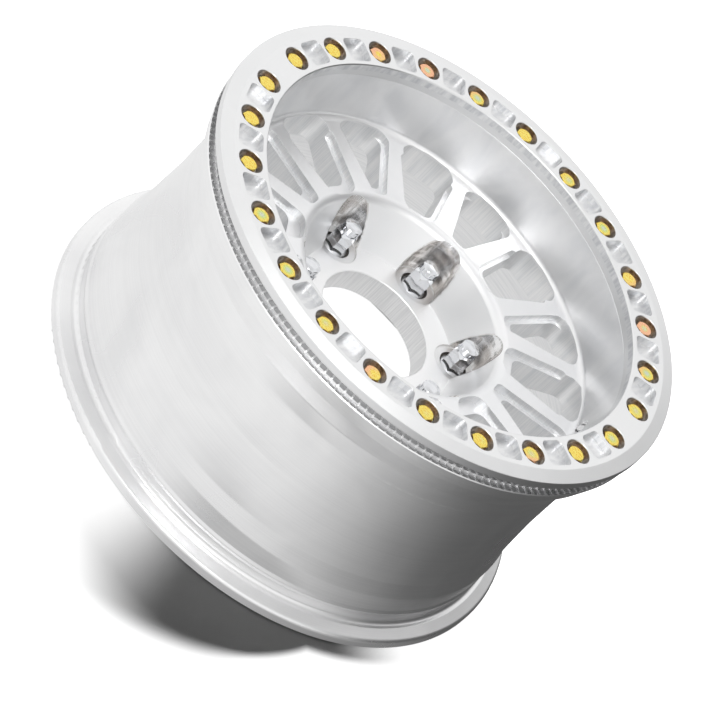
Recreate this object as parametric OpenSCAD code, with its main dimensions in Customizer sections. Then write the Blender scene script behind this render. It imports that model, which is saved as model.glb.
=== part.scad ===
// Beadlock wheel for an off-road vehicle, one forged body with a bolted clamp ring.
// It stands on the rear rim face with its axis upright, and plus Z points to the outboard side.
// The origin is the centre of the bore in the hub's mounting face. All sizes are in millimetres.

/* [Rim barrel] */
// Radius of the rear bead seat
bead_seat_r = 218.3; // [216:0.1:221]
// Distance from the hub face back to the rear rim face
rear_depth = 113.8; // [105:0.1:125]
// Height of the rear flange above the bead seat
rear_flange_h = 17.7; // [15:0.1:20]
// Thickness of the rear flange at its rim
rear_flange_t = 10.3; // [8:0.1:13]
// Slope of the rear flange's front side over its height
rear_flange_fall = 3.5; // [1:0.1:4.5]
// Width of the rear bead seat
bead_seat_w = 14.6; // [12:0.1:18]
// Height of the safety hump
hump_h = 1.2; // [0.6:0.1:1.8]
// Half width of the safety hump
hump_w = 3.4; // [2.5:0.1:5]
// How far the drop centre lies below the bead seat
drop_fall = 6.8; // [5:0.1:9]
// Height above the hub face where the drop centre ends in the front flare
drop_top_z = 57; // [50:0.1:60]
// Height above the hub face where the drop centre starts
drop_foot_z = 5; // [-5:0.1:15]
// How far the rear shoulder's foot lies below the bead seat
shoulder_fall = 3.5; // [2.6:0.1:4.2]
// Height of the rear shoulder's foot below the hub face
shoulder_z = 47.5; // [42:0.1:52]
// Rise of the shoulder up to the bead seat's radius, along the axis
shoulder_w = 16.5; // [14:0.1:20]
// Wall of the barrel at the drop centre
barrel_wall = 8.5; // [7:0.1:10]
// Wall of the barrel under the rear bead seat
seat_wall = 8.3; // [7:0.1:10]
// Radial width of the rear rim face inside the bead seat's radius
rear_lip_in = 4.3; // [2:0.1:5.5]

/* [Hub and face] */
// Radius of the centre bore
bore_r = 54; // [50:0.05:57]
// Thickness of the hub at the bore
hub_t = 24.9; // [23.4:0.1:28]
// Radial width of the hub's mounting pad outside the stud circle
hub_pad_out = 10.45; // [9:0.05:13]
// How far the foot of the hub's cone lies inside the stud circle
cone_foot_in = 2.55; // [1:0.05:4]
// How far the hub's cone would meet the face inside the lug pockets' outer side
cone_head_in = 1.25; // [0.5:0.05:2.5]
// Radius of the round between cone and face
cone_round = 11; // [8:0.5:12]
// Height of the face above the hub's mounting face
face_z = 68.7; // [67:0.1:71]
// Radial distance from the mounting pad's edge to the foot of the face's back
back_foot_out = 15; // [12:0.1:18]
// Height of the back of the face at its inner end
back_foot_z = 30; // [26:0.1:34]
// Height of the back of the face at the barrel
back_head_z = 46; // [43:0.1:49]
// Wall between the drop centre and the front chamber
chamber_wall = 25; // [24:0.1:26]
// How much the front chamber widens from the face to the clamp land
chamber_draft = 2.9; // [2:0.1:3.5]
// Fillet between the front chamber and the face
chamber_fillet = 7; // [5:0.5:9]

/* [Windows] */
// Number of windows of each of the two kinds
window_count = 8; // [8:1:8]
// Web between the lug pockets and the hub end of the wide windows
wide_web = 1.25; // [1:0.05:2.5]
// Half width of the wide windows at their hub end
wide_in_w = 15.5; // [14.5:0.1:16.5]
// Width of a spoke's front at the rim end
spoke_rim_w = 10.7; // [10:0.1:12]
// Radius of the hub end's corners in the wide windows
wide_in_round = 13; // [10:0.5:14]
// How much farther out the tips of the narrow windows lie
narrow_tip_out = 3.5; // [3:0.1:5.5]
// Half width of the narrow windows at their tip
narrow_in_w = 7; // [6.4:0.1:7.2]
// Half width of the narrow windows at their rim end
narrow_out_w = 29.6; // [29:0.1:29.8]
// Radius of the tip's corners in the narrow windows
narrow_in_round = 6; // [5:0.1:6.4]
// Radial distance from the windows' rim end to the front chamber's wall
window_out_gap = 1.7; // [1.6:0.1:2.4]
// Radius of the rim end's corners
window_out_round = 9.5; // [7:0.5:10]
// Length of the wide windows' rim end that has no ledge
wide_ledge_gap = 16.3; // [14:0.1:18]
// How far the narrow windows' step stays short of their rim end
narrow_ledge_gap = 0.6; // [0.4:0.1:0.8]
// Radius of the ledge's corners at the rim end
ledge_out_round = 5; // [3:0.5:6]
// Depth of the window's front step
step_depth = 8; // [6:0.1:10]
// Width of the step's ledge at the hub end
ledge_in = 13; // [11:0.1:14]
// Width of the step's ledge along the sides
ledge_side = 3.3; // [2.8:0.1:3.6]
// Radius of the corners at the ledge's hub end in the wide windows
ledge_round = 10; // [8:0.5:12]

/* [Wheel bolts and their seats] */
// Number of wheel studs
lug_count = 6; // [6:1:6]
// Diameter of the stud circle
lug_circle_d = 165.1; // [163:0.1:166.5]
// Radius of the stud holes
lug_hole_r = 7.75; // [7.4:0.05:8.2]
// Angle of the first stud hole from the first clamp bolt
lug_start_a = 52.5; // [52.5:0.5:52.5]
// Radius of the lug pockets
lug_pocket_r = 20.5; // [19.6:0.1:20.9]
// Depth of the lug pockets' floor below the hub's front land
lug_floor_drop = 1.4; // [0.8:0.1:2]
// Radius of the round well that takes the nut's base
lug_well_r = 13.8; // [13.4:0.1:14.2]
// Depth of the well below the pocket's floor
lug_well_depth = 3.2; // [2.4:0.1:3.6]
// Radius of the conical seat at the well's floor
lug_seat_r = 12.4; // [12:0.1:12.8]
// Angle of the conical seat, from side to side
lug_seat_a = 60; // [58:1:62]

/* [Clamp flange of the wheel] */
// How far the circle of clamp bolts lies inside the bead seat's radius
clamp_circle_in = 13.3; // [12.8:0.1:13.8]
// Number of clamp bolts
clamp_count = 24; // [24:1:24]
// Height of the clamp land above the hub's mounting face
land_z = 122.9; // [121:0.1:125]
// Radial width of the clamp land outside the circle of clamp bolts
register_out = 13.2; // [12.8:0.1:13.5]
// Depth of the inner grip row below the clamp land
grip_in_drop = 6.4; // [5.8:0.1:7]
// Step between the inner and the outer grip row
grip_step = 2; // [1.6:0.1:2.4]
// Radial width of the inner grip row
grip_in_w = 6.3; // [5.8:0.1:6.8]
// Radial width of the outer grip row
grip_out_w = 6.5; // [6:0.1:7.4]
// Number of grip ridges in a row
grip_count = 192; // [180:12:204]
// Share of the pitch taken by a ridge
grip_share = 0.22; // [0.18:0.01:0.28]
// Height of the grip ridges
grip_h = 1; // [0.7:0.1:1.3]
// Thickness of the grip flange's edge
grip_edge_t = 16.5; // [14:0.1:18]
// How far the grip flange's edge draws in towards the rear
grip_edge_draw = 5.5; // [4:0.1:6.5]
// Small step under the grip flange's edge
grip_under = 1; // [0.6:0.1:1.4]
// Height of the soft corner in the flare
flare_z = 76.7; // [74:0.1:79]
// How far the flare's soft corner lies below the bead seat
flare_fall = 3; // [2.3:0.1:3.7]
// Depth of the insert holes
insert_depth = 22; // [20:0.5:24]
// Extra depth of the bolt's drill hole under an insert
drill_extra = 5; // [3:0.5:7]

/* [Clamp ring] */
// Thickness of the ring on the clamp land
ring_t = 14.1; // [13.6:0.1:15]
// How far the ring's inner edge stands into the front chamber's mouth
ring_inset = 1.1; // [0.8:0.1:1.8]
// Width of the ring's lip outside the register wall
lip_w = 14.3; // [13.6:0.1:15.8]
// Width of the ring's sloped band
band_w = 12.1; // [11:0.1:12.7]
// Fall of the ring's sloped band
ring_fall = 2.8; // [2:0.1:3.6]
// Height of the ring's lip above the clamp land
lip_lift = 2.5; // [2:0.1:3]
// Radial play between the ring's clamping foot and the register wall
lip_play = 0.6; // [0.4:0.1:0.9]
// Chamfer under the ring's outer edge
lip_chamfer = 1.8; // [1.2:0.1:2.2]
// Radius of the counterbores
counterbore_r = 11.5; // [11.2:0.1:11.8]
// Depth of the counterbores
counterbore_depth = 10; // [9.5:0.1:10.3]
// Radius of the bolt holes in the ring
ring_hole_r = 5; // [4.95:0.05:5.4]
// Wall between a pocket and the ring's inner edge
pocket_wall = 4; // [3.5:0.1:4.7]
// Length of a pocket along the radius
pocket_length = 23.6; // [22.5:0.1:24.2]
// Web between a pocket's side and the counterbore next to it
pocket_web = 3.33; // [2.8:0.01:3.8]
// Radius of the pockets' corners
pocket_round = 5; // [4:0.5:6.5]
// Depth of the pockets
pocket_depth = 7; // [5:0.1:9]
// Two places that stay plain, counted from the first pocket
plain_places = [1, 13];

/* [Clamp bolts] */
// Radius of the bolt's shank
bolt_r = 4.75; // [4.6:0.05:4.8]
// Width across the flats of the bolt's head
bolt_flats = 14.3; // [13.6:0.1:14.6]
// Height of the bolt's head
bolt_head_h = 6; // [5.4:0.1:6.4]
// Length of the bolt's shank
bolt_length = 25; // [23:0.5:27]
// Radius of the washer
washer_r = 10.3; // [9.8:0.1:10.8]
// Thickness of the washer
washer_t = 1.6; // [1.2:0.1:2]
// Outer radius of the thread insert
insert_r = 6.5; // [6.2:0.1:6.8]

/* [Lug nuts] */
// Height of the nut's top above the hub's mounting face
nut_top_z = 51.2; // [49:0.1:53]
// Radius of the nut's round base
nut_base_r = 12; // [11.6:0.1:12.3]
// Height of the nut's round base
nut_base_h = 2.6; // [2:0.1:3.2]
// Width across the flats of the nut's hexagon
nut_flats = 19; // [18.6:0.1:19.2]
// Radius of the nut's collar
nut_collar_r = 8.6; // [8.3:0.1:8.9]
// Height of the nut's collar
nut_collar_h = 4.4; // [4:0.1:5]
// Width of the groove under the collar
nut_groove_w = 1.2; // [0.8:0.1:1.6]
// Depth of the groove under the collar
nut_groove_d = 0.7; // [0.5:0.1:0.9]
// Height of the nut's cap
nut_cap_h = 2.4; // [2:0.1:2.8]
// Height of the low dome on the cap
nut_dome_h = 1.1; // [0.8:0.1:1.4]
// Number of slots in the collar
nut_slots = 12; // [10:1:14]
// Width of the slots
nut_slot_w = 1.2; // [0.9:0.1:1.5]
// Depth of the slots
nut_slot_d = 0.8; // [0.5:0.1:1]
// Radius of the threaded cavity
nut_thread_r = 6; // [5.7:0.1:6.3]
// Wall of the nut over the threaded cavity
nut_roof = 6; // [5:0.1:8]

/* [Valve] */
// Angle of the valve from the first clamp bolt
valve_a = -146.25; // [-147:0.25:-145.5]
// Radial distance of the valve's mouth behind the front chamber's wall
valve_out = 0.5; // [0:0.1:1.1]
// Height of the valve's mouth above the face
valve_up = 8.3; // [7.7:0.1:8.9]
// Tilt of the valve towards the wheel's axis
valve_tilt = 47; // [45:0.5:49]
// Radius of the recess round the valve
valve_recess_r = 5.4; // [5.2:0.05:5.7]
// Depth of the recess round the valve
valve_recess_depth = 12; // [11:0.1:13]
// Depth of the valve's seat in the barrel, from the mouth
valve_seat_depth = 24.5; // [23.5:0.1:25]
// Radius of the valve's seat in the barrel
valve_seat_r = 8; // [7.6:0.1:8.2]
// Radius of the valve's stem
valve_stem_r = 3; // [2.8:0.05:3.2]
// Radius of the valve's head on the air side
valve_head_r = 7; // [6.6:0.1:7.3]
// Thickness of the valve's head
valve_head_t = 3; // [2.5:0.1:3.5]
// Thickness of the rubber grommet
grommet_t = 2.5; // [2:0.1:3]
// Radius of the valve's cap
valve_cap_r = 4; // [3.9:0.05:4.2]
// Length of the valve's cap
valve_cap_h = 6.5; // [6:0.1:6.9]
// Height of the valve's nut
valve_nut_h = 3.8; // [3.2:0.1:4]
// Thickness of the valve's washer
valve_washer_t = 1; // [0.8:0.1:1.2]
// Radius of the valve's core
valve_core_r = 1.5; // [1.3:0.05:1.6]

/* [Fits and edges] */
// Radial play of threads and inserts
thread_play = 0.1; // [0.08:0.01:0.15]
// Play between the lug nut and its conical seat
seat_play = 0.2; // [0.15:0.01:0.25]
// Small chamfer on turned edges
edge = 0.8; // [0.5:0.1:1]
// Small chamfer round holes and counterbores
hole_edge = 0.5; // [0.3:0.1:0.6]

/* [Hidden] */
$fn = 96;

// Extra length of a cutter past the surface it opens
past = 20;
// Arcs are this much larger than tangent ones, so that they cross their sides cleanly
arc_over = 1.001;
// How deep a joined form sinks into its neighbour
sink = 0.5;

// Radii of the rim, all from the bead seat
rear_flange_r = bead_seat_r + rear_flange_h;
drop_r = bead_seat_r - drop_fall;
shoulder_r = bead_seat_r - shoulder_fall;
flare_r = bead_seat_r - flare_fall;
chamber_r = drop_r - chamber_wall;
chamber_mouth_r = chamber_r + chamber_draft;
clamp_circle_r = bead_seat_r - clamp_circle_in;
register_r = clamp_circle_r + register_out;
grip_step_r = register_r + grip_in_w;
grip_r = grip_step_r + grip_out_w;

// Radii of the clamp ring and its pockets
ring_in_r = chamber_mouth_r - ring_inset;
ring_out_r = register_r + lip_w;
ring_flat_r = ring_out_r - band_w;
pocket_in_r = ring_in_r + pocket_wall;
pocket_out_r = pocket_in_r + pocket_length;

clamp_pitch = 360 / clamp_count;
pocket_half_a = clamp_pitch / 2 - asin((counterbore_r + pocket_web) / clamp_circle_r);
window_pitch = 360 / window_count;
window_out_r = chamber_r - window_out_gap;
wide_out_w = window_out_r * PI * window_pitch / 360 - narrow_out_w - spoke_rim_w;
valve_r = chamber_r + valve_out;
valve_z = face_z + valve_up;
lug_pitch = 360 / lug_count;
lug_r = lug_circle_d / 2;
hub_pad_r = lug_r + hub_pad_out;
cone_foot_r = lug_r - cone_foot_in;
cone_head_r = lug_r + lug_pocket_r - cone_head_in;
back_foot_r = hub_pad_r + back_foot_out;
wide_in_r = lug_r + lug_pocket_r + wide_web;
narrow_in_r = wide_in_r + narrow_tip_out;
lug_floor_z = hub_t - lug_floor_drop;
lug_well_z = lug_floor_z - lug_well_depth;
lug_seat_z = lug_well_z - (lug_seat_r - lug_hole_r) / tan(lug_seat_a / 2);
ring_z = land_z + ring_t;
counterbore_z = ring_z - counterbore_depth;
head_z = counterbore_z + washer_t;
grip_in_z = land_z - grip_in_drop;
grip_out_z = grip_in_z - grip_step;
seat_front_z = -rear_depth + rear_flange_t + rear_flange_fall;
hump_z = seat_front_z + bead_seat_w;
insert_floor_z = land_z - insert_depth;

// A corner list holds radius, height and the size of the round at each corner.
function unit(v) = v / norm(v);
function corner(p, i) = let (n = len(p)) p[(i + n) % n];
function spot(p, i) = [corner(p, i)[0], corner(p, i)[1]];
function round_of(p, i) = corner(p, i)[2];
function back_dir(p, i) = unit(spot(p, i - 1) - spot(p, i));
function next_dir(p, i) = unit(spot(p, i + 1) - spot(p, i));
function half_angle(p, i) = acos(max(-1, min(1, back_dir(p, i) * next_dir(p, i)))) / 2;
function turning(p, i) = cross(-back_dir(p, i), next_dir(p, i));
function setback(p, i) = round_of(p, i) / tan(half_angle(p, i));
function centre_of(p, i) = spot(p, i)
    + unit(back_dir(p, i) + next_dir(p, i)) * round_of(p, i) / sin(half_angle(p, i));

// The sliver between a sharp corner and its true round, taken one millimetre past the corner
module corner_sliver(p, i) {
    difference() {
        polygon([
            spot(p, i) + back_dir(p, i) * setback(p, i),
            spot(p, i) + unit(spot(p, i) - centre_of(p, i)),
            spot(p, i) + next_dir(p, i) * setback(p, i)]);
        translate(centre_of(p, i)) circle(r = round_of(p, i) * arc_over);
    }
}

// A flat outline whose outer corners are true arcs
module rounded(p) {
    last = len(p) - 1;
    difference() {
        polygon([for (i = [0:last]) spot(p, i)]);
        for (i = [0:last])
            if (round_of(p, i) > 0 && turning(p, i) > 0) corner_sliver(p, i);
    }
}

// Copies of a form round the axis
module around(count, start = 0) {
    for (i = [0:count - 1]) rotate([0, 0, start + i * 360 / count]) children();
}

// A turned form: outer corners are rounded in the section, inner ones filled by a turned sliver
module turned(p) {
    union() {
        rotate_extrude() rounded(p);
        for (i = [0:len(p) - 1])
            if (round_of(p, i) > 0 && turning(p, i) < 0)
                rotate_extrude() corner_sliver(p, i);
    }
}

// The whole wheel body as one turned section, from the bore outwards and back over the front
wheel_section = [
    [bore_r, edge, 0],
    [bore_r + edge, 0, 0],
    [hub_pad_r, 0, 1],
    [back_foot_r, back_foot_z, 9],
    [drop_r - barrel_wall, back_head_z, 12],
    [drop_r - barrel_wall, -shoulder_z + 4, 30],
    [bead_seat_r - seat_wall, -shoulder_z - shoulder_w, 30],
    [bead_seat_r - seat_wall, seat_front_z, 8],
    [bead_seat_r - rear_lip_in, -rear_depth, 1.5],
    [rear_flange_r, -rear_depth, 3],
    [rear_flange_r, -rear_depth + rear_flange_t, 4],
    [bead_seat_r + 6, seat_front_z, 1],
    [bead_seat_r, seat_front_z, 4],
    [bead_seat_r, hump_z - hump_w, 2],
    [bead_seat_r + hump_h, hump_z, 1.5],
    [bead_seat_r, hump_z + hump_w, 2],
    [bead_seat_r, -shoulder_z - shoulder_w, 12],
    [shoulder_r, -shoulder_z, 25],
    [drop_r, drop_foot_z, 60],
    [drop_r, drop_top_z, 22],
    [flare_r, flare_z, 14],
    [grip_r - grip_edge_draw - grip_under, grip_out_z - grip_edge_t, 0],
    [grip_r - grip_edge_draw, grip_out_z - grip_edge_t, 0.3],
    [grip_r, grip_out_z - edge, 0],
    [grip_r - edge, grip_out_z, 0],
    [grip_step_r, grip_out_z, 0],
    [grip_step_r, grip_in_z, 0],
    [register_r, grip_in_z, 0],
    [register_r, land_z - edge / 2, 0],
    [register_r - edge / 2, land_z, 0],
    [chamber_mouth_r + edge, land_z, 0],
    [chamber_mouth_r, land_z - edge, 0],
    [chamber_r, face_z, chamber_fillet],
    [cone_head_r, face_z, cone_round],
    [cone_foot_r, hub_t, 0],
    [bore_r + edge, hub_t, 0],
    [bore_r, hub_t - edge, 0]];

// One row of radial grip ridges, drawn as a toothed hoop that sinks into the body
module grip_row(in_r, out_r, base_z) {
    pitch = 360 / grip_count;
    half = pitch * grip_share / 2;
    translate([0, 0, base_z - sink])
        linear_extrude(grip_h + sink)
            difference() {
                polygon([for (i = [0:grip_count - 1])
                    for (c = [[in_r, -half], [out_r, -half], [out_r, half], [in_r, half]])
                        c[0] * [cos(i * pitch + c[1]), sin(i * pitch + c[1])]]);
                circle(r = in_r - 4 * sink);
            }
}

// Slope of a window's sides, and the half width of its two stages at any radius
function side_slope(in_r, in_w, out_w) = (out_w - in_w) / (window_out_r - in_r);
function step_w(in_r, in_w, out_w, at_r) = in_w + side_slope(in_r, in_w, out_w) * (at_r - in_r);
function deep_w(in_r, in_w, out_w, at_r) =
    let (s = side_slope(in_r, in_w, out_w)) step_w(in_r, in_w, out_w, at_r) - ledge_side * sqrt(1 + s * s);

// Rim end of a window: an arc round the wheel's axis between two rounded corners
function rim_end(out_r, out_w, corner_r) =
    let (side_r = sqrt(out_r * out_r - out_w * out_w))
    [[side_r, -out_w, corner_r], [out_r + 0.4, 0, out_r / 2], [side_r, out_w, corner_r]];

// A window's outline from its hub end to an arc at the rim end
module window_outline(in_r, in_w, out_r, out_w, in_round) {
    rounded(concat(
        [[in_r, -in_w, in_round]],
        rim_end(out_r, out_w, window_out_round),
        [[in_r, in_w, in_round]]));
}

// The window's lower stage goes right through and alone reaches the rim end
module window_hole(in_r, in_w, out_w, in_round) {
    hole_in_r = in_r + ledge_in;
    linear_extrude(face_z + past)
        window_outline(hole_in_r, deep_w(in_r, in_w, out_w, hole_in_r),
            window_out_r, deep_w(in_r, in_w, out_w, window_out_r), in_round);
}

// Wide window: its step ends short of the rim end in two corners of its own
module wide_window() {
    step_r = window_out_r - wide_ledge_gap;
    step_out_w = step_w(wide_in_r, wide_in_w, wide_out_w, step_r);
    translate([0, 0, face_z - step_depth])
        linear_extrude(step_depth + past)
            rounded([
                [wide_in_r, -wide_in_w, wide_in_round],
                [step_r, -step_out_w, ledge_out_round],
                [step_r, step_out_w, ledge_out_round],
                [wide_in_r, wide_in_w, wide_in_round]]);
    window_hole(wide_in_r, wide_in_w, wide_out_w, ledge_round);
}

// Narrow window: its step runs on to the rim end
module narrow_window() {
    step_r = window_out_r - narrow_ledge_gap;
    translate([0, 0, face_z - step_depth])
        linear_extrude(step_depth + past)
            window_outline(narrow_in_r, narrow_in_w,
                step_r, step_w(narrow_in_r, narrow_in_w, narrow_out_w, step_r), narrow_in_round);
    window_hole(narrow_in_r, narrow_in_w, narrow_out_w, narrow_in_round);
}

// Pocket, well, conical seat and stud hole of one lug
module lug_cut() {
    turned([
        [0, -past, 0],
        [lug_hole_r, -past, 0],
        [lug_hole_r, lug_seat_z, 0],
        [lug_seat_r, lug_well_z, 0],
        [lug_well_r, lug_well_z, 0],
        [lug_well_r, lug_floor_z, 0],
        [lug_pocket_r, lug_floor_z, 0],
        [lug_pocket_r, face_z + past, 0],
        [0, face_z + past, 0]]);
}

// Hole for a thread insert and the drill hole under it
module insert_cut() {
    drill_r = insert_r - 1.2;
    turned([
        [0, insert_floor_z - drill_extra, 0],
        [drill_r, insert_floor_z - drill_extra, 0],
        [drill_r, insert_floor_z, 0],
        [insert_r + thread_play, insert_floor_z, 0],
        [insert_r + thread_play, land_z + past, 0],
        [0, land_z + past, 0]]);
}

// Carries a form from the valve's own axis to its place in the wheel
module at_valve() {
    rotate([0, 0, valve_a])
        translate([valve_r, 0, valve_z])
            rotate([0, -valve_tilt, 0]) children();
}

// Recess in the front, through hole, and flat seat on the air side
module valve_cut() {
    hole_r = valve_stem_r + thread_play;
    turned([
        [0, -valve_seat_depth - past, 0],
        [valve_seat_r, -valve_seat_depth - past, 0],
        [valve_seat_r, -valve_seat_depth, 0],
        [hole_r, -valve_seat_depth, 0],
        [hole_r, -valve_recess_depth, 0],
        [valve_recess_r, -valve_recess_depth, 0],
        [valve_recess_r, 0, 0],
        [valve_recess_r + edge, edge, 0],
        [valve_recess_r + edge, past, 0],
        [0, past, 0]]);
}

module forged_wheel() {
    color("silver")
        union() {
            difference() {
                turned(wheel_section);
                around(window_count) wide_window();
                around(window_count, window_pitch / 2) narrow_window();
                around(lug_count, lug_start_a) translate([lug_r, 0, 0]) lug_cut();
                around(clamp_count) translate([clamp_circle_r, 0, 0]) insert_cut();
                at_valve() valve_cut();
            }
            grip_row(register_r - sink, grip_step_r - 0.3, grip_in_z);
            grip_row(grip_step_r - sink, grip_r - edge - 0.3, grip_out_z);
        }
}

ring_section = [
    [ring_in_r + edge, land_z, 0],
    [register_r + lip_play, land_z, 0],
    [register_r + lip_play, land_z + lip_lift, 0.8],
    [ring_out_r - lip_chamfer, land_z + lip_lift, 0],
    [ring_out_r, land_z + lip_lift + lip_chamfer, 0.5],
    [ring_out_r, ring_z - ring_fall, 0.6],
    [ring_flat_r, ring_z, 3],
    [ring_in_r + edge, ring_z, 0],
    [ring_in_r, ring_z - edge, 0],
    [ring_in_r, land_z + edge, 0]];

// One light pocket in the ring's front, between two bolts
module ring_pocket() {
    in_w = pocket_in_r * sin(pocket_half_a);
    out_w = pocket_out_r * sin(pocket_half_a);
    translate([0, 0, ring_z - pocket_depth])
        linear_extrude(pocket_depth + past)
            rounded([
                [pocket_in_r, -in_w, pocket_round],
                [pocket_out_r, -out_w, pocket_round],
                [pocket_out_r, out_w, pocket_round],
                [pocket_in_r, in_w, pocket_round]]);
}

// Counterbore with a broken edge, and the bolt hole under it
module ring_bolt_cut() {
    translate([0, 0, counterbore_z]) cylinder(r = counterbore_r, h = counterbore_depth + past);
    translate([0, 0, ring_z - hole_edge])
        cylinder(r1 = counterbore_r, r2 = counterbore_r + 2 * hole_edge, h = 2 * hole_edge);
    translate([0, 0, land_z - past]) cylinder(r = ring_hole_r, h = ring_t + past);
}

module beadlock_ring() {
    color("gainsboro")
        difference() {
            turned(ring_section);
            around(clamp_count) translate([clamp_circle_r, 0, 0]) ring_bolt_cut();
            for (i = [0:clamp_count - 1])
                if (len(search(i, plain_places)) == 0)
                    rotate([0, 0, (i + 0.5) * clamp_pitch]) ring_pocket();
        }
}

// Hexagon head with a turned top edge, and the shank
module clamp_bolt() {
    corner_r = bolt_flats / sqrt(3);
    intersection() {
        translate([0, 0, head_z]) cylinder(r = corner_r, h = bolt_head_h, $fn = 6);
        turned([
            [0, head_z - 1, 0],
            [corner_r + 1, head_z - 1, 0],
            [corner_r + 1, head_z + bolt_head_h - 1.35, 0],
            [bolt_flats / 2 - 0.35, head_z + bolt_head_h, 0],
            [0, head_z + bolt_head_h, 0]]);
    }
    turned([
        [0, head_z - bolt_length, 0],
        [bolt_r - edge, head_z - bolt_length, 0],
        [bolt_r, head_z - bolt_length + edge, 0],
        [bolt_r, head_z + sink, 0],
        [0, head_z + sink, 0]]);
}

module beadlock_bolts() {
    color("goldenrod")
        around(clamp_count) translate([clamp_circle_r, 0, 0]) clamp_bolt();
}

module bolt_washers() {
    color("darkgoldenrod")
        around(clamp_count)
            translate([clamp_circle_r, 0, counterbore_z])
                difference() {
                    cylinder(r = washer_r, h = washer_t);
                    translate([0, 0, -past]) cylinder(r = ring_hole_r, h = 2 * past);
                }
}

module thread_inserts() {
    color("dimgray")
        around(clamp_count)
            translate([clamp_circle_r, 0, insert_floor_z])
                difference() {
                    cylinder(r = insert_r, h = insert_depth);
                    translate([0, 0, -past]) cylinder(r = bolt_r + thread_play, h = insert_depth + 2 * past);
                    translate([0, 0, insert_depth - hole_edge])
                        cylinder(r1 = bolt_r + thread_play, r2 = bolt_r + thread_play + 2 * hole_edge,
                            h = 2 * hole_edge);
                }
}

// Where the nut's cone stands off the seat by the play, square to the seat's surface
nut_cone_z = lug_seat_z + seat_play / sin(lug_seat_a / 2);
function cone_z(r) = nut_cone_z + (r - lug_hole_r) / tan(lug_seat_a / 2);
nut_foot_r = lug_hole_r + 0.5;
nut_hex_z = cone_z(nut_base_r) + nut_base_h;
nut_collar_z = nut_top_z - nut_cap_h - nut_collar_h;
nut_hex_top_z = nut_collar_z - nut_groove_w;
nut_cap_edge = 0.5;

// Closed nut: cone seat, round base, hexagon with a turned top, groove, slotted collar and domed cap
module lug_nut() {
    hex_r = nut_flats / sqrt(3);
    difference() {
        union() {
            turned([
                [0, cone_z(nut_foot_r), 0],
                [nut_foot_r, cone_z(nut_foot_r), 0],
                [nut_base_r, cone_z(nut_base_r), 0],
                [nut_base_r, nut_hex_z - 0.8, 0.5],
                [nut_flats / 2 - 0.2, nut_hex_z + 1.4, 1],
                [nut_flats / 2 - 0.2, nut_hex_z + 3, 0],
                [0, nut_hex_z + 3, 0]]);
            intersection() {
                translate([0, 0, nut_hex_z - 1])
                    cylinder(r = hex_r, h = nut_hex_top_z - nut_hex_z + 1, $fn = 6);
                turned([
                    [0, nut_hex_z - 1, 0],
                    [nut_base_r - 0.4, nut_hex_z - 1, 0],
                    [hex_r - 0.2, nut_hex_top_z - 3.2, 2],
                    [nut_collar_r + 0.2, nut_hex_top_z, 0],
                    [0, nut_hex_top_z, 0]]);
            }
            difference() {
                turned([
                    [0, nut_hex_top_z - 1, 0],
                    [nut_collar_r - nut_groove_d, nut_hex_top_z - 1, 0],
                    [nut_collar_r - nut_groove_d, nut_collar_z, 0],
                    [nut_collar_r, nut_collar_z + 0.3, 0],
                    [nut_collar_r, nut_top_z - nut_dome_h - nut_cap_edge, 0],
                    [nut_collar_r - nut_cap_edge, nut_top_z - nut_dome_h, 0],
                    [nut_collar_r / 2, nut_top_z - nut_dome_h / 6, 18],
                    [0, nut_top_z, 0]]);
                around(nut_slots)
                    translate([nut_collar_r - nut_slot_d, -nut_slot_w / 2, nut_collar_z + 0.8])
                        cube([2, nut_slot_w, nut_collar_h - 0.8]);
            }
        }
        translate([0, 0, lug_seat_z])
            cylinder(r = nut_thread_r, h = nut_top_z - nut_roof - lug_seat_z);
        translate([0, 0, cone_z(nut_foot_r) - hole_edge])
            cylinder(r1 = nut_thread_r + 3 * hole_edge, r2 = nut_thread_r, h = 3 * hole_edge);
    }
}

module place_nut(i) {
    color("lightgray")
        rotate([0, 0, lug_start_a + (i - 1) * lug_pitch])
            translate([lug_r, 0, 0]) lug_nut();
}

valve_head_z = -valve_seat_depth - grommet_t;
valve_tip_z = -valve_cap_h + 3.2;

module valve_stem() {
    color("silver")
        at_valve()
            difference() {
                turned([
                    [0, valve_head_z - valve_head_t, 0],
                    [valve_head_r - 1, valve_head_z - valve_head_t, 0],
                    [valve_head_r, valve_head_z - valve_head_t + 1, 0],
                    [valve_head_r, valve_head_z, 0],
                    [valve_stem_r, valve_head_z, 0],
                    [valve_stem_r, valve_tip_z - hole_edge, 0],
                    [valve_stem_r - hole_edge, valve_tip_z, 0],
                    [0, valve_tip_z, 0]]);
                translate([0, 0, valve_head_z - valve_head_t - past])
                    cylinder(r = valve_core_r + thread_play, h = 3 * past + valve_seat_depth);
            }
}

module valve_grommet() {
    color("black")
        at_valve()
            translate([0, 0, valve_head_z])
                difference() {
                    cylinder(r = valve_head_r, h = grommet_t);
                    translate([0, 0, -past]) cylinder(r = valve_stem_r + thread_play, h = 3 * past);
                }
}

module valve_washer() {
    color("silver")
        at_valve()
            translate([0, 0, -valve_recess_depth])
                difference() {
                    cylinder(r = valve_recess_r - 0.5, h = valve_washer_t);
                    translate([0, 0, -past]) cylinder(r = valve_stem_r + thread_play, h = 3 * past);
                }
}

// Round nut with two slots for a pin key
module valve_nut() {
    color("silver")
        at_valve()
            translate([0, 0, -valve_recess_depth + valve_washer_t])
                difference() {
                    cylinder(r = valve_recess_r - 0.5, h = valve_nut_h);
                    translate([0, 0, -past]) cylinder(r = valve_stem_r + thread_play, h = 3 * past);
                    for (a = [0, 180]) rotate([0, 0, a])
                        translate([valve_stem_r + 1, -0.6, valve_nut_h - 1.4]) cube([3, 1.2, 3]);
                }
}

module valve_core() {
    color("gold")
        at_valve()
            translate([0, 0, valve_tip_z - 22]) cylinder(r = valve_core_r, h = 21.4);
}

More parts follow.
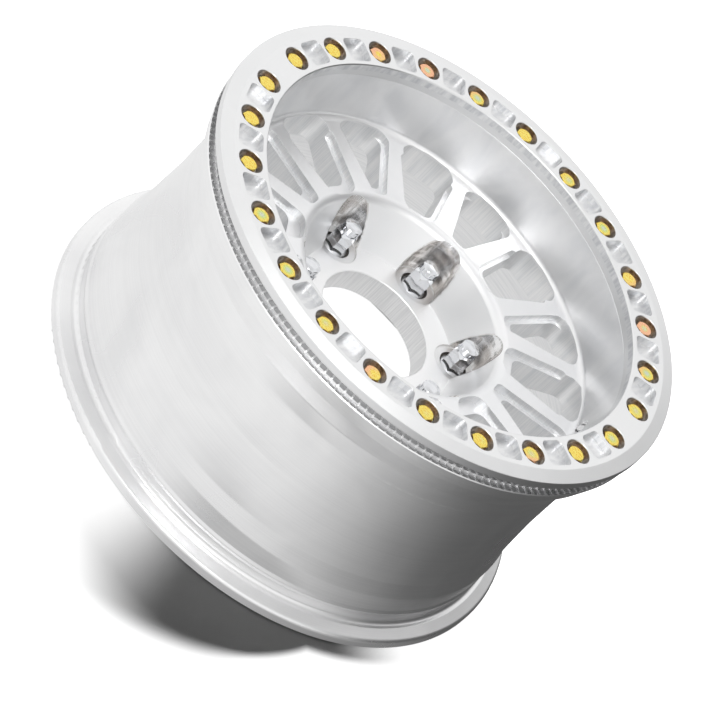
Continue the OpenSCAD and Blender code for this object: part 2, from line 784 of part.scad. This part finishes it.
module valve_cap() {
    color("silver")
        at_valve()
            difference() {
                turned([
                    [0, -valve_cap_h, 0],
                    [valve_cap_r - 0.3, -valve_cap_h, 0],
                    [valve_cap_r, -valve_cap_h + 0.3, 0],
                    [valve_cap_r, 0, 0.8],
                    [0, 0, 0]]);
                translate([0, 0, -valve_cap_h - past])
                    cylinder(r = valve_stem_r + thread_play, h = past + valve_cap_h + valve_tip_z + 0.3);
            }
}

forged_wheel();
beadlock_ring();
beadlock_bolts();
bolt_washers();
thread_inserts();
for (i = [1:lug_count])
    place_nut(i);
valve_stem();
valve_grommet();
valve_washer();
valve_nut();
valve_core();
valve_cap();
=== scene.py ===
"""Looks for the beadlock wheel: procedural metals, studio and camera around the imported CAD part."""

import math
from types import SimpleNamespace

import bpy
from mathutils import Matrix, Vector

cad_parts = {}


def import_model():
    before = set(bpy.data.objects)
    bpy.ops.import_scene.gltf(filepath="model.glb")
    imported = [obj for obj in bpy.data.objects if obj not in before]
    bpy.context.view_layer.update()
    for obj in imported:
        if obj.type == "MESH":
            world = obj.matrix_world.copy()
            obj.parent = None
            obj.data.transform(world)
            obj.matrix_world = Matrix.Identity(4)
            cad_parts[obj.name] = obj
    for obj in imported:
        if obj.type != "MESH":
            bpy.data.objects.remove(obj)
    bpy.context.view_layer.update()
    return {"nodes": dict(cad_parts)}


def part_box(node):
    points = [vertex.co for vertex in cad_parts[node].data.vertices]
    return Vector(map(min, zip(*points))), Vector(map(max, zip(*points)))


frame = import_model()
nodes = frame["nodes"]

# Places on the part in metres, with the wheel's axis along z. The lug nuts stand on one circle
WHEEL_FOOT_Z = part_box("forged_wheel")[0][2]
LUG_X, LUG_Y, _ = [(low + high) / 2 for low, high in zip(*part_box("lug_nut_1"))]
LUG_COUNT, LUG_R, LUG_START = 6, math.hypot(LUG_X, LUG_Y), math.atan2(LUG_Y, LUG_X)
BOLT_COUNT, BOLT_R = 24, 0.205

# Borders between the wheel body's surfaces: where each change starts and where it is complete
POCKET_SIDE_R, POCKET_FLOOR_Z = (0.0212, 0.0217), (0.0240, 0.0246)
WELL_SIDE_R, WELL_FLOOR_Z, WELL_TOP_Z = (0.0140, 0.0141), (0.002, 0.003), (0.0233, 0.0235)
WINDOW_IN_R, WINDOW_OUT_R, WINDOW_TOP_Z = (0.100, 0.102), (0.1868, 0.1872), (0.0684, 0.0688)
BARREL_IN_R, BARREL_OUT_R, OUTSIDE_R = (0.190, 0.195), (0.2125, 0.213), (0.205, 0.208)
CHAMBER_IN_R, CHAMBER_OUT_R, CHAMBER_FLOOR_Z = (0.1855, 0.1862), (0.191, 0.1915), (0.069, 0.075)
BORE_R, HUB_LAND_R, CONE_R = (0.0545, 0.055), (0.080, 0.082), (0.104, 0.106)
FACE_R, FACE_Z = (0.184, 0.186), (0.0236, 0.0240)
GRIP_R, GRIP_Z = (0.2178, 0.218), (0.1115, 0.112)
GRIP_STEP_R, GRIP_IN_Z, GRIP_OUT_Z = (0.2243, 0.2247), (0.1168, 0.1172), (0.1148, 0.1152)

# The same on the clamp ring, on a bolt's head by distance from its axis, and on a lug nut
COUNTERBORE_R, RING_POCKET_R = (0.0117, 0.0119), (0.2190, 0.2192)
RING_POCKET_FLOOR_Z, RING_POCKET_TOP_Z = (0.1295, 0.1297), (0.1355, 0.1361)
HEAD_CENTRE_R, HEAD_GREEN_R = (0.0012, 0.0035), (0.0030, 0.0062)
HEAD_PINK_R, HEAD_SIDE_R = (0.0015, 0.0045), (0.0062, 0.0072)
NUT_FOOT_Z = (0.0250, 0.0262)

# The floor, how much less of it a surface lit by another gets, and the side where metal sees it grey
# as a painted reflection of shade
FLOOR_SIZE, FLOOR_GAP, FLOOR_DIMMING, GREY_SIDE = 40.0, 0.0002, 0.9, math.radians(225.0)
# The painted outline of the floor's shadow: its middle, the turns where it fades in and out, its
# radius and its softness. Radius and softness fall as it turns away, down to a least value
SHADOW_MIDDLE, SHADOW_START, SHADOW_END = math.radians(130.0), (-0.56, -0.13), (0.45, 0.85)
SHADOW_R, SHADOW_R_FALL, SHADOW_R_LEAST = 0.306, 0.160, 0.249
SHADOW_SOFT, SHADOW_SOFT_FALL, SHADOW_SOFT_LEAST = 0.012, 0.046, 0.006

# Brightness of the studio's dome where it is light and where it is dark, and its dimming straight above
DOME_HIGH, DOME_LOW, ZENITH = 1.3, 0.12, 0.66
# The dome's dark side, the cosines from it where dark sets in, and the heights where the zenith does
DARK_SIDE, DARK_COS, ZENITH_Z = (-0.62, -0.75, 0.2), (0.6, 0.94), (0.72, 0.98)
# What the dome gives to a surface lit by another, to a diffuse surface and to the camera
DOME_SEEN = (("Diffuse Depth", 0.1), ("Is Diffuse Ray", 0.06), ("Is Camera Ray", 1.0))

BEVEL_SAMPLES = 6


def smooth_range(tree, source, low, high, start, end):
    """Smooth step of a socket's value from start at low to end at high."""
    n = tree.nodes.new("ShaderNodeMapRange")
    n.interpolation_type = "SMOOTHSTEP"
    for name, v in zip(("From Min", "From Max", "To Min", "To Max"), (low, high, start, end)):
        n.inputs[name].default_value = v
    tree.links.new(source, n.inputs["Value"])
    return n.outputs[0]


class Value:
    """One output socket of a graph that can be used in sums."""

    def __init__(self, graph, socket):
        self.graph, self.socket = graph, socket

    def _op(self, op, *others):
        return self.graph.math(op, self, *others)

    def __add__(self, other):
        return self._op("ADD", other)

    __radd__ = __add__

    def __sub__(self, other):
        return self._op("SUBTRACT", other)

    def __rsub__(self, other):
        return self.graph.math("SUBTRACT", other, self)

    def __mul__(self, other):
        return self._op("MULTIPLY", other)

    __rmul__ = __mul__

    def __truediv__(self, other):
        return self._op("DIVIDE", other)

    def abs(self):
        return self._op("ABSOLUTE")

    def sin(self):
        return self._op("SINE")

    def cos(self):
        return self._op("COSINE")

    def max(self, other):
        return self._op("MAXIMUM", other)

    def min(self, other):
        return self._op("MINIMUM", other)

    def power(self, other):
        return self._op("POWER", other)

    def modulo(self, other):
        return self._op("FLOORED_MODULO", other)

    def above(self, low, high):
        """0 below low, 1 above high, smooth between."""
        return Value(self.graph, smooth_range(self.graph.tree, self.socket, low, high, 0.0, 1.0))

    def below(self, low, high):
        """1 below low, 0 above high, smooth between."""
        return Value(self.graph, smooth_range(self.graph.tree, self.socket, low, high, 1.0, 0.0))

    def spread(self):
        """A noise's middle values drawn out over 0 to 1."""
        return self.above(0.3, 0.7)


class Graph:
    """A material's node tree with helpers for coordinates, noise and mixing."""

    def __init__(self, name):
        self.mat = bpy.data.materials.new(name)
        self.mat.use_nodes = True
        self.tree = self.mat.node_tree
        self.tree.nodes.clear()
        self.out = self.node("OutputMaterial")
        coords = self.node("TexCoord")
        self.place = Value(self, coords.outputs["Object"])
        self.x, self.y, self.z = self.split(coords.outputs["Object"])
        nx, ny, self.nz = self.split(coords.outputs["Normal"])
        self.r = (self.x * self.x + self.y * self.y).power(0.5)
        self.angle = self.math("ARCTAN2", self.y, self.x)
        # How far the normal points away from the axis
        self.out_radial = (self.x * nx + self.y * ny) / self.r

    def node(self, kind):
        return self.tree.nodes.new("ShaderNode" + kind)

    def link(self, value, socket):
        """Joins a Value to a socket, or sets the socket to a plain number or colour."""
        if isinstance(value, Value):
            self.tree.links.new(value.socket, socket)
        else:
            socket.default_value = value

    def split(self, socket):
        n = self.node("SeparateXYZ")
        self.tree.links.new(socket, n.inputs[0])
        return [Value(self, s) for s in n.outputs]

    def math(self, op, *values):
        n = self.node("Math")
        n.operation = op
        for i, v in enumerate(values):
            self.link(v, n.inputs[i])
        return Value(self, n.outputs[0])

    def vector(self, x, y, z):
        n = self.node("CombineXYZ")
        for i, v in enumerate((x, y, z)):
            self.link(v, n.inputs[i])
        return Value(self, n.outputs[0])

    def noise(self, vector, scale, detail=2.0, rough=0.5, distortion=0.0):
        n = self.node("TexNoise")
        self.link(vector, n.inputs["Vector"])
        n.inputs["Scale"].default_value = scale
        n.inputs["Detail"].default_value = detail
        n.inputs["Roughness"].default_value = rough
        n.inputs["Distortion"].default_value = distortion
        return Value(self, n.outputs["Fac"])

    def _mix(self, data_type, kind, share, a, b):
        n = self.node("Mix")
        n.data_type = data_type
        self.link(share, n.inputs["Factor"])
        for name, v in (("A", a), ("B", b)):
            self.link(v, [s for s in n.inputs if s.name == name and s.type == kind][0])
        return Value(self, [s for s in n.outputs if s.type == kind][0])

    def mix(self, share, a, b):
        """Colours a to b by share."""
        a, b = ((*c, 1.0) if isinstance(c, tuple) else c for c in (a, b))
        return self._mix("RGBA", "RGBA", share, a, b)

    def blend(self, share, a, b):
        """Numbers a to b by share."""
        return self._mix("FLOAT", "VALUE", share, a, b)

    def soft_normal(self, edge, sharp):
        """Normal with edges rounded by the shader, or left as they are where sharp is 1."""
        soft = self.node("Bevel")
        soft.samples = BEVEL_SAMPLES
        soft.inputs["Radius"].default_value = edge
        if sharp is None:
            return soft.outputs[0]
        pick = self.node("Mix")
        pick.data_type = "VECTOR"
        self.link(sharp, [s for s in pick.inputs if s.name == "Factor" and s.type == "VALUE"][0])
        vectors = [s for s in pick.inputs if s.type == "VECTOR"]
        self.tree.links.new(soft.outputs[0], vectors[-2])
        self.tree.links.new(self.node("NewGeometry").outputs["Normal"], vectors[-1])
        return [s for s in pick.outputs if s.type == "VECTOR"][0]

    def metal(self, colour, rough, height, depth, anisotropy=0.0, edge=0.0, sharp=None, metallic=1.0):
        """The closing shader, with its bump, its softened edges and its turning direction."""
        shader = self.node("BsdfPrincipled")
        self.link(colour, shader.inputs["Base Color"])
        self.link(rough, shader.inputs["Roughness"])
        shader.inputs["Metallic"].default_value = metallic
        bump = self.node("Bump")
        bump.inputs["Distance"].default_value = depth
        self.link(height, bump.inputs["Height"])
        if edge:
            self.tree.links.new(self.soft_normal(edge, sharp), bump.inputs["Normal"])
        self.tree.links.new(bump.outputs[0], shader.inputs["Normal"])
        if anisotropy:
            shader.inputs["Anisotropic"].default_value = anisotropy
            tangent = self.node("Tangent")
            tangent.direction_type, tangent.axis = "RADIAL", "Z"
            self.tree.links.new(tangent.outputs[0], shader.inputs["Tangent"])
        self.tree.links.new(shader.outputs[0], self.out.inputs[0])
        return self.mat


def axis_distance(g, count, radius, start=0.0):
    """Distance from the nearest of count axes that stand on a circle."""
    pitch = math.tau / count
    turn = (g.angle - start + pitch / 2).modulo(pitch) - pitch / 2
    u = g.r * turn.cos() - radius
    v = g.r * turn.sin()
    return (u * u + v * v).power(0.5)


def wheel_places(g):
    """Masks of the wheel body's surfaces, 0 to 1, by radius, height and normal."""
    at = SimpleNamespace()
    wall = g.nz.abs().below(0.35, 0.6)
    lug = axis_distance(g, LUG_COUNT, LUG_R, LUG_START)
    sloped = g.nz.below(0.6, 0.8) * g.nz.above(0.2, 0.3)
    at.pocket = lug.below(*POCKET_SIDE_R) * g.z.above(*POCKET_FLOOR_Z) * wall
    at.well = lug.below(*WELL_SIDE_R) * g.z.below(*WELL_TOP_Z) * g.z.above(*WELL_FLOOR_Z)
    at.window = g.r.above(*WINDOW_IN_R) * g.r.below(*WINDOW_OUT_R) * g.z.below(*WINDOW_TOP_Z) * wall
    at.inside = g.r.above(*BARREL_IN_R) * g.r.below(*BARREL_OUT_R) * (0.0 - g.out_radial).above(0.3, 0.5)
    at.chamber = g.r.above(*CHAMBER_IN_R) * g.r.below(*CHAMBER_OUT_R) * g.z.above(*CHAMBER_FLOOR_Z)
    at.bore = g.r.below(*BORE_R) * wall
    at.outer = g.out_radial.above(0.4, 0.7) * g.r.above(*OUTSIDE_R)
    at.face = g.r.below(*FACE_R) * g.z.above(*FACE_Z) * (1.0 - at.pocket) * (1.0 - at.window)
    at.cone = g.r.below(*CONE_R) * sloped * (1.0 - at.pocket)
    at.hub_land = at.face * g.r.below(*HUB_LAND_R)
    at.grip = g.z.above(*GRIP_Z) * g.r.above(*GRIP_R)
    in_row = g.r.below(*GRIP_STEP_R) * g.z.below(*GRIP_IN_Z)
    out_row = g.r.above(*GRIP_STEP_R) * g.z.below(*GRIP_OUT_Z)
    at.grip_floor = at.grip * g.nz.above(0.9, 0.95) * (in_row + out_row)
    return at


def pocket_colour(g):
    """Walls of the lug pockets: brushed up and down, with tool lines round them and brown blotches,
    darker overall as painted shade.
    """
    brushed = g.noise(g.vector(g.x, g.y, g.z * 0.12), 330.0, 2.0, 0.6, 0.3)
    tool_line = g.noise(g.vector(g.x * 0.12, g.y * 0.12, g.z), 170.0, 1.0, 0.5, 0.3).above(0.58, 0.66)
    streaks = brushed * (1.0 - tool_line) + tool_line
    turned = g.mix(streaks.above(0.35, 0.65), (0.44, 0.43, 0.42), (0.98, 0.975, 0.97))
    brown_blotch = g.noise(g.place, 60.0, 2.0, 0.6, 1.0)
    return g.mix(brown_blotch.above(0.40, 0.64) * 0.7, turned, (0.40, 0.35, 0.31))


def wheel_metal():
    """Raw machined aluminium, with each surface's own tool marks, tone and gloss, and painted shade
    in the lug wells, on the lug pocket walls and on the grip's cell floors.
    """
    g = Graph("machined_wheel")
    at = wheel_places(g)
    clouds = g.noise(g.place, 7.0, 3.0, 0.55, 0.9)
    turning = g.noise(g.vector(g.r, g.z, 0.0), 900.0, 3.0, 0.7)
    down = g.noise(g.vector(g.x, g.y, g.z * 0.03), 900.0, 2.0, 0.6)
    broad = g.noise(g.vector(g.x, g.y, g.z * 0.05), 110.0, 1.0)
    across = g.noise(g.vector(g.x * 0.03, g.y * 0.03, g.z), 800.0, 2.0, 0.6)
    patches = g.noise(g.vector(g.angle * 0.19, g.z * 0.4, 0.0), 30.0, 3.0, 0.6, 0.5)
    base = g.blend(at.chamber, clouds * 0.7 + turning * 0.3, patches).spread()
    fluted = down.spread() * 0.6 + broad.above(0.35, 0.65) * 0.4
    cloudy = clouds.spread()

    colour = g.mix(base, (0.80, 0.80, 0.805), (0.93, 0.93, 0.93))
    for share, pattern, low, high in (
            (at.chamber, patches.spread(), (0.88, 0.885, 0.895), (0.98, 0.98, 0.98)),
            # Painted shade: the grip's cell floors, down between the teeth, are a flat darker grey
            (at.grip_floor, 0.0, (0.63, 0.63, 0.635), (0.63, 0.63, 0.635)),
            (at.face, cloudy, (0.86, 0.865, 0.875), (0.94, 0.94, 0.945)),
            (at.cone, cloudy, (0.92, 0.925, 0.93), (0.98, 0.98, 0.98)),
            (at.hub_land, cloudy, (0.94, 0.94, 0.945), (0.985, 0.985, 0.985)),
            (at.window * 0.8, fluted, (0.76, 0.775, 0.79), (0.97, 0.965, 0.96)),
            (at.inside * 0.6, across.spread(), (0.78, 0.79, 0.80), (0.94, 0.94, 0.94)),
            (at.bore, down.spread(), (0.76, 0.76, 0.765), (0.90, 0.90, 0.90))):
        colour = g.mix(share, colour, g.mix(pattern, low, high))
    # Painted shade: the lug pocket walls take the darker brushed and blotched colour
    colour = g.mix(at.pocket * 0.8, colour, pocket_colour(g))
    # Painted shade: the narrow well round each lug nut's foot is dark grey
    colour = g.mix(at.well, colour, (0.22, 0.21, 0.20))

    rough = 0.30 + clouds * 0.12
    for share, value in (
            (at.chamber, 0.26 + patches * 0.16),
            (at.outer, 0.22 + clouds * 0.14),
            (at.face, 0.40 + clouds * 0.1),
            (at.pocket, 0.24)):
        rough = g.blend(share, rough, value)
    height = turning * 0.5 + clouds * 0.8 + at.window * down * 0.4 + at.bore * down * 0.4
    return g.metal(colour, rough, height, 0.00006, anisotropy=0.3, edge=0.0007, sharp=at.grip)


def ring_metal():
    """Turned aluminium with a flat satin front, pockets greyed as painted shade, and counterbore walls
    darkened and browned as painted shade and a painted reflection of the gold heads.
    """
    g = Graph("turned_ring")
    clouds = g.noise(g.place, 14.0, 3.0, 0.6, 0.6)
    turning = g.noise(g.vector(g.r, g.z, 0.0), 1500.0, 2.0, 0.7)
    front = g.nz.above(0.97, 0.99)
    satin = g.mix(clouds * 0.5 + turning * 0.5, (0.79, 0.795, 0.80), (0.87, 0.87, 0.87))
    colour = g.mix(front, g.mix(clouds, (0.76, 0.765, 0.77), (0.86, 0.86, 0.86)), satin)
    # Painted shade and a painted reflection of the gold heads: the counterbore walls are darker and
    # brownish
    bore = axis_distance(g, BOLT_COUNT, BOLT_R).below(*COUNTERBORE_R) * g.nz.abs().below(0.4, 0.6)
    mottled = g.noise(g.place, 240.0, 2.0, 0.6).above(0.35, 0.65)
    colour = g.mix(bore * 0.85, colour, g.mix(mottled, (0.40, 0.38, 0.36), (0.86, 0.85, 0.84)))
    # Painted shade: the pockets are greyed, their sides more than their floors
    depth = g.z.below(*RING_POCKET_TOP_Z) * g.z.above(*RING_POCKET_FLOOR_Z)
    pocket = depth * g.r.below(*RING_POCKET_R) * (1.0 - bore)
    side = g.nz.abs().below(0.3, 0.7)
    streaks = g.noise(g.vector(g.x, g.y * 0.4, g.z * 0.2), 260.0, 2.0, 0.6).spread()
    brushed = g.mix(streaks, (0.60, 0.61, 0.63), (0.90, 0.90, 0.90))
    colour = g.mix(pocket * (0.4 + side * 0.4), colour, brushed)
    rough = g.blend(front, 0.26, 0.36) + clouds * 0.08
    return g.metal(colour, rough, turning, 0.00004, anisotropy=0.3, edge=0.0006)


def gold_metal():
    """Yellow zinc with green and pink interference tints that differ from bolt to bolt."""
    g = Graph("gold_zinc")
    spots = g.noise(g.place, 520.0, 2.0, 0.6, 0.6).spread()
    near = axis_distance(g, BOLT_COUNT, BOLT_R)
    greenish = g.noise(g.place, 11.0, 1.0).above(0.46, 0.60)
    pinkish = g.noise(g.vector(g.x + 0.7, g.y, g.z), 11.0, 1.0).above(0.50, 0.60)
    yellow = g.mix(spots, (0.84, 0.57, 0.09), (0.93, 0.80, 0.20))
    green = g.mix(near.below(*HEAD_CENTRE_R), (0.62, 0.72, 0.24), (0.60, 0.66, 0.52))
    colour = g.mix(near.below(*HEAD_GREEN_R) * greenish, yellow, green)
    colour = g.mix(near.above(*HEAD_PINK_R) * pinkish, colour, (0.90, 0.50, 0.30))
    colour = g.mix(near.above(*HEAD_SIDE_R) * g.nz.below(0.6, 0.9), colour, (0.86, 0.56, 0.30))
    return g.metal(colour, 0.22 + spots * 0.15, spots, 0.00005)


def chrome():
    """Polished plating, duller at the foot of the nut."""
    g = Graph("nut_chrome")
    spots = g.noise(g.place, 160.0, 2.0, 0.5)
    colour = g.mix(spots, (0.70, 0.71, 0.73), (0.80, 0.81, 0.83))
    foot = g.z.below(*NUT_FOOT_Z)
    return g.metal(colour, g.blend(foot, 0.07 + spots * 0.06, 0.36), spots, 0.00002)


def plain_metal(name, low, high, rough):
    g = Graph(name)
    spots = g.noise(g.place, 220.0, 2.0, 0.5)
    return g.metal(g.mix(spots, low, high), rough + spots * 0.1, spots, 0.00003, edge=0.0002)


def rubber():
    g = Graph("valve_rubber")
    spots = g.noise(g.place, 300.0, 2.0, 0.5)
    colour = g.mix(spots, (0.02, 0.02, 0.02), (0.04, 0.04, 0.04))
    return g.metal(colour, 0.55 + spots * 0.2, spots, 0.00003, metallic=0.0)


def dress(material, *names):
    """Gives CAD nodes their material."""
    for name in names:
        data = nodes[name].data
        data.materials.clear()
        data.materials.append(material)


dress(wheel_metal(), "forged_wheel")
dress(ring_metal(), "beadlock_ring")
dress(gold_metal(), "beadlock_bolts")
dress(plain_metal("washer_zinc", (0.30, 0.27, 0.23), (0.56, 0.51, 0.44), 0.3), "bolt_washers")
dress(plain_metal("insert_steel", (0.30, 0.30, 0.30), (0.42, 0.42, 0.42), 0.35), "thread_inserts")
dress(chrome(), *[f"lug_nut_{i}" for i in range(1, LUG_COUNT + 1)])
dress(plain_metal("valve_metal", (0.70, 0.70, 0.70), (0.84, 0.84, 0.84), 0.2),
      "valve_stem", "valve_washer", "valve_nut", "valve_cap")
dress(plain_metal("valve_brass", (0.60, 0.42, 0.18), (0.72, 0.54, 0.26), 0.25), "valve_core")
dress(rubber(), "valve_grommet")


def floor_shadow(g):
    """Painted outline where the camera sees the wheel's shadow: one side only, narrower and sharper
    as it turns away.
    """
    turn = (g.angle - SHADOW_MIDDLE + math.pi).modulo(math.tau) - math.pi
    past_limit = g.r - (SHADOW_R - turn * SHADOW_R_FALL).max(SHADOW_R_LEAST)
    softness = (SHADOW_SOFT - turn * SHADOW_SOFT_FALL).max(SHADOW_SOFT_LEAST)
    return turn.above(*SHADOW_START) * turn.below(*SHADOW_END) * (past_limit / softness).below(-1.0, 1.0)


def floor():
    """Pale floor that keeps the shadow inside a painted outline, and glows under the wheel as painted
    light.
    Metal sees it white, greyer on one side as a painted reflection.
    """
    bpy.ops.mesh.primitive_plane_add(size=FLOOR_SIZE, location=(0, 0, WHEEL_FOOT_Z - FLOOR_GAP))
    plane = bpy.context.object
    plane.name = "studio_floor"
    g = Graph("studio_floor")
    ray = g.node("LightPath")
    seen, mirrored = Value(g, ray.outputs["Is Camera Ray"]), Value(g, ray.outputs["Is Glossy Ray"])
    first_hand = 1.0 - Value(g, ray.outputs["Diffuse Depth"]).min(1.0) * FLOOR_DIMMING
    # Painted light: under the wheel the floor glows for every ray, lighting the barrel from inside and
    # white through the bore
    under = g.r.below(0.19, 0.21)
    around = 1.0 - under
    shadow = floor_shadow(g)
    glow = seen * (1.0 - shadow) * around + under * (0.5 + seen * 0.6)
    # Painted reflection: metal sees the floor greyer on one side, and darker where the painted shadow
    # lies
    grey_side = (g.angle - GREY_SIDE).cos().above(-0.35, 0.95)
    mirror = (0.95 - grey_side * 0.85) * around * (1.0 - shadow * 0.4) + under * 0.82

    diffuse, shine, reflected = g.node("BsdfDiffuse"), g.node("Emission"), g.node("Emission")
    diffuse.inputs["Color"].default_value = (0.86, 0.86, 0.86, 1)
    g.link(glow, shine.inputs["Strength"])
    g.link(mirror * first_hand, reflected.inputs["Strength"])
    add, pick = g.node("AddShader"), g.node("MixShader")
    g.link(mirrored, pick.inputs[0])
    for source, socket in ((diffuse, add.inputs[0]), (shine, add.inputs[1]), (add, pick.inputs[1]),
                           (reflected, pick.inputs[2]), (pick, g.out.inputs[0])):
        g.tree.links.new(source.outputs[0], socket)
    plane.data.materials.append(g.mat)


def world():
    """White for the camera, and a soft dome that is darker on one side and straight above."""
    w = bpy.data.worlds.new("studio")
    bpy.context.scene.world = w
    w.use_nodes = True
    t = w.node_tree
    t.nodes.clear()
    out, back, ray, coords, dot, split, both = (t.nodes.new("ShaderNode" + kind) for kind in (
        "OutputWorld", "Background", "LightPath", "TexCoord", "VectorMath", "SeparateXYZ", "Math"))
    direction = coords.outputs["Generated"]
    dot.operation = "DOT_PRODUCT"
    dot.inputs[1].default_value = Vector(DARK_SIDE).normalized()
    t.links.new(direction, dot.inputs[0])
    t.links.new(direction, split.inputs[0])
    both.operation = "MULTIPLY"
    t.links.new(smooth_range(t, dot.outputs["Value"], *DARK_COS, DOME_HIGH, DOME_LOW), both.inputs[0])
    t.links.new(smooth_range(t, split.outputs[2], *ZENITH_Z, 1.0, ZENITH), both.inputs[1])
    level = both.outputs[0]
    for kind, value in DOME_SEEN:
        strength = t.nodes.new("ShaderNodeMix")
        strength.data_type = "FLOAT"
        share, a, b = [s for s in strength.inputs if s.type == "VALUE"]
        t.links.new(ray.outputs[kind], share)
        t.links.new(level, a)
        b.default_value = value
        level = [s for s in strength.outputs if s.type == "VALUE"][0]
    t.links.new(level, back.inputs["Strength"])
    t.links.new(back.outputs[0], out.inputs[0])


def lamp(name, place, target, size, watts):
    data = bpy.data.lights.new(name, "AREA")
    data.shape, data.size, data.energy = "DISK", size, watts
    obj = bpy.data.objects.new(name, data)
    bpy.context.collection.objects.link(obj)
    obj.location = place
    obj.rotation_euler = (Vector(target) - Vector(place)).to_track_quat("-Z", "Y").to_euler()
    return obj


def camera():
    """The photograph's camera, as fitted to its bolts and rear flange."""
    data = bpy.data.cameras.new("camera")
    data.sensor_width = 36.0
    data.lens = 204.89
    data.clip_start, data.clip_end = 0.05, 100.0
    obj = bpy.data.objects.new("camera", data)
    bpy.context.collection.objects.link(obj)
    right = Vector((-0.48315, -0.65243, 0.58387))
    up = Vector((0.82000, -0.10347, 0.56293))
    back = Vector((-0.30685, 0.75075, 0.58499))
    place = Vector((-1.0781, 2.6027, 2.0191))
    obj.matrix_world = Matrix.Translation(place) @ Matrix((right, up, back)).transposed().to_4x4()
    bpy.context.scene.camera = obj


floor()
world()
# Two lamps for the metal's glints, and one that only casts the shadow on the floor
lamp("key", (0.35, -0.6, 2.6), (0, 0, 0), 0.9, 3.5).visible_diffuse = False
lamp("fill", (-0.9, 2.0, 2.6), (0, 0, 0.05), 1.4, 22.0).visible_diffuse = False
lamp("floor_light", (0.62, -0.70, 2.7), (0, 0, 0), 0.8, 75.0).visible_glossy = False
camera()
scene = bpy.context.scene
scene.view_settings.view_transform = "Standard"
scene.cycles.max_bounces = 16
scene.cycles.glossy_bounces = 12
scene.cycles.diffuse_bounces = 6
